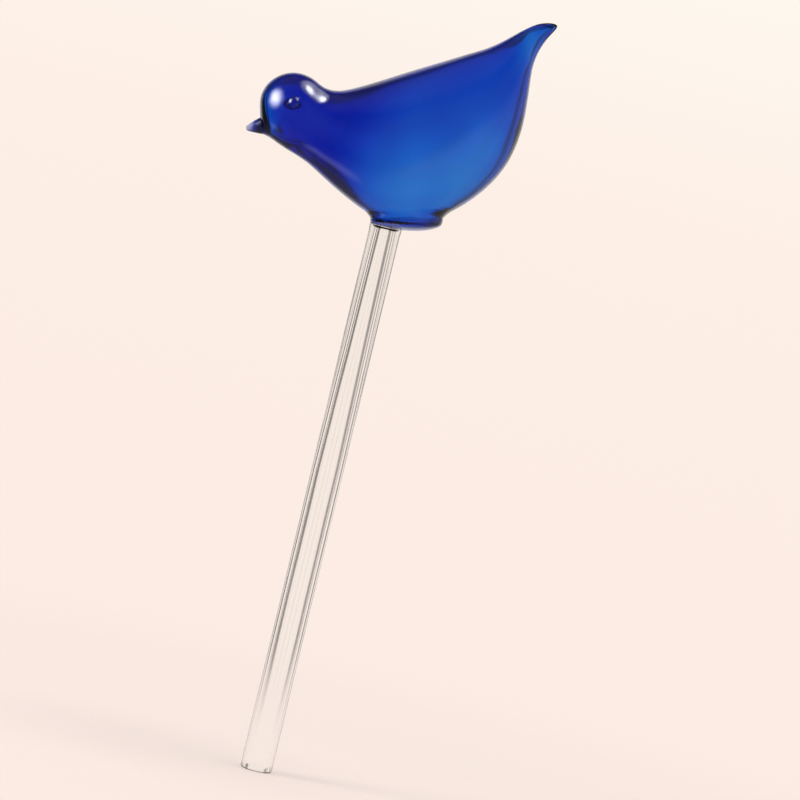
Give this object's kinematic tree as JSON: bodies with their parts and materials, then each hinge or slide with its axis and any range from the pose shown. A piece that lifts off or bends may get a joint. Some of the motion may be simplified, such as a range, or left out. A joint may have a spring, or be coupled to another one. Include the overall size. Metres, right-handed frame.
{
  "type": "watering globe",
  "caption": "Hollow blown-glass bird fused to a clear glass tube stem; filled through the stem and pushed into soil, it lets water out as the soil dries.",
  "frame": {"origin": "on the stem's axis at planting depth, where the stem leaves the soil", "axes": "+Z along the stem, up toward the bird; -X the way the bird looks; the bird is mirror-symmetric across Y"},
  "size_m": [0.0873, 0.041, 0.2487],
  "materials": {
    "blue_glass": "glossy transparent cobalt-blue blown glass",
    "pale_glass": "glossy milky pale-blue glass",
    "bead_glass": "glossy dense blue glass",
    "clear_glass": "glossy clear drawn tube, fire-polished end"
  },
  "bodies": {
    "root": {"bird_body": "blue_glass", "beak": "pale_glass", "eye_left": "bead_glass", "eye_right": "bead_glass", "stem": "clear_glass"}
  },
  "joints": []
}
